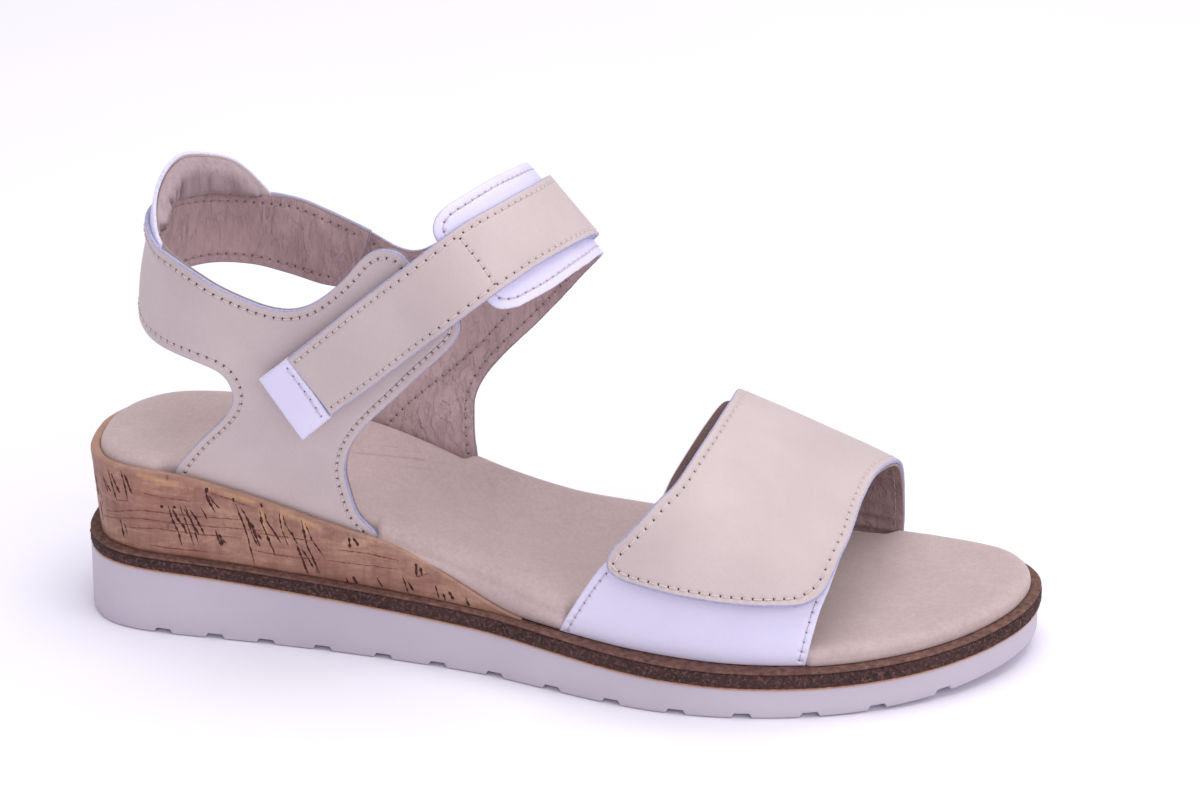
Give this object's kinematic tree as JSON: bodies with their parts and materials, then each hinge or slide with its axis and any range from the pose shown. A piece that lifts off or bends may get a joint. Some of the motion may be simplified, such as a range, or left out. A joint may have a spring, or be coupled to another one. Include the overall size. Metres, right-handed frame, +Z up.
{
  "type": "wedge sandal",
  "caption": "Right-foot wedge sandal: cork-wrapped wedge on a speckled platform, padded footbed, heel band, and two leather straps that open on hook-and-loop tape.",
  "frame": {"origin": "on the ground, in the middle of the sole's length and width, on the flat of the tread", "axes": "+X towards the toe, +Y towards the inner (big-toe) side, +Z up"},
  "size_m": [0.256, 0.091, 0.1298],
  "materials": {
    "outsole_rubber": "satin light grey rubber",
    "tan_sheet": "thin tan rubber sheet",
    "speckled_foam": "brown foam with lighter and darker specks",
    "core_foam": "plain foam, hidden",
    "cork_veneer": "natural cork veneer",
    "insole_board": "cellulose board, hidden",
    "footbed_foam": "soft foam, hidden",
    "footbed_leather": "matt beige suede-like leather",
    "taupe_lining": "soft taupe lining leather",
    "beige_leather": "smooth beige leather",
    "white_leather": "smooth white leather, satin",
    "collar_foam": "soft foam, hidden",
    "collar_leather": "soft beige-taupe leather",
    "tape": "beige hook-and-loop tape"
  },
  "bodies": {
    "shoe": {"ankle_loop_tape": "tape", "ankle_strap_root": "beige_leather", "ankle_strap_root_lining": "taupe_lining", "collar_foam": "collar_foam", "collar_lining": "collar_leather", "cork_wrap": "cork_veneer", "footbed_cover": "footbed_leather", "footbed_foam": "footbed_foam", "fore_base_lining": "taupe_lining", "fore_base_outer": "white_leather", "fore_inner_lining": "taupe_lining", "fore_inner_outer": "beige_leather", "fore_loop_tape": "tape", "heel_tab": "white_leather", "inner_quarter_lining": "taupe_lining", "inner_quarter_outer": "beige_leather", "insole_board": "insole_board", "instep_patch": "white_leather", "outsole": "outsole_rubber", "platform_foam": "speckled_foam", "platform_lower_sheet": "tan_sheet", "platform_top_sheet": "tan_sheet", "quarter_lining": "taupe_lining", "quarter_outer": "beige_leather", "wedge_core": "core_foam"},
    "ankle_flap": {"ankle_hook_tape": "tape", "ankle_strap_lining": "taupe_lining", "ankle_strap_outer": "beige_leather", "ankle_strap_tip": "white_leather"},
    "fore_flap": {"fore_flap_lining": "taupe_lining", "fore_flap_outer": "beige_leather", "fore_hook_tape": "tape"}
  },
  "joints": [
    {"name": "ankle_strap_open", "type": "hinge", "parent": "shoe", "child": "ankle_flap", "pos_m": [-0.01485, -0.02815, 0.11485], "axis": [-0.6656, 0.0587, 0.744], "range_deg": [0, 130]},
    {"name": "fore_strap_open", "type": "hinge", "parent": "shoe", "child": "fore_flap", "pos_m": [0.06591, 0.02356, 0.05498], "axis": [-0.9226, -0.0093, 0.3857], "range_deg": [0, 105]}
  ]
}
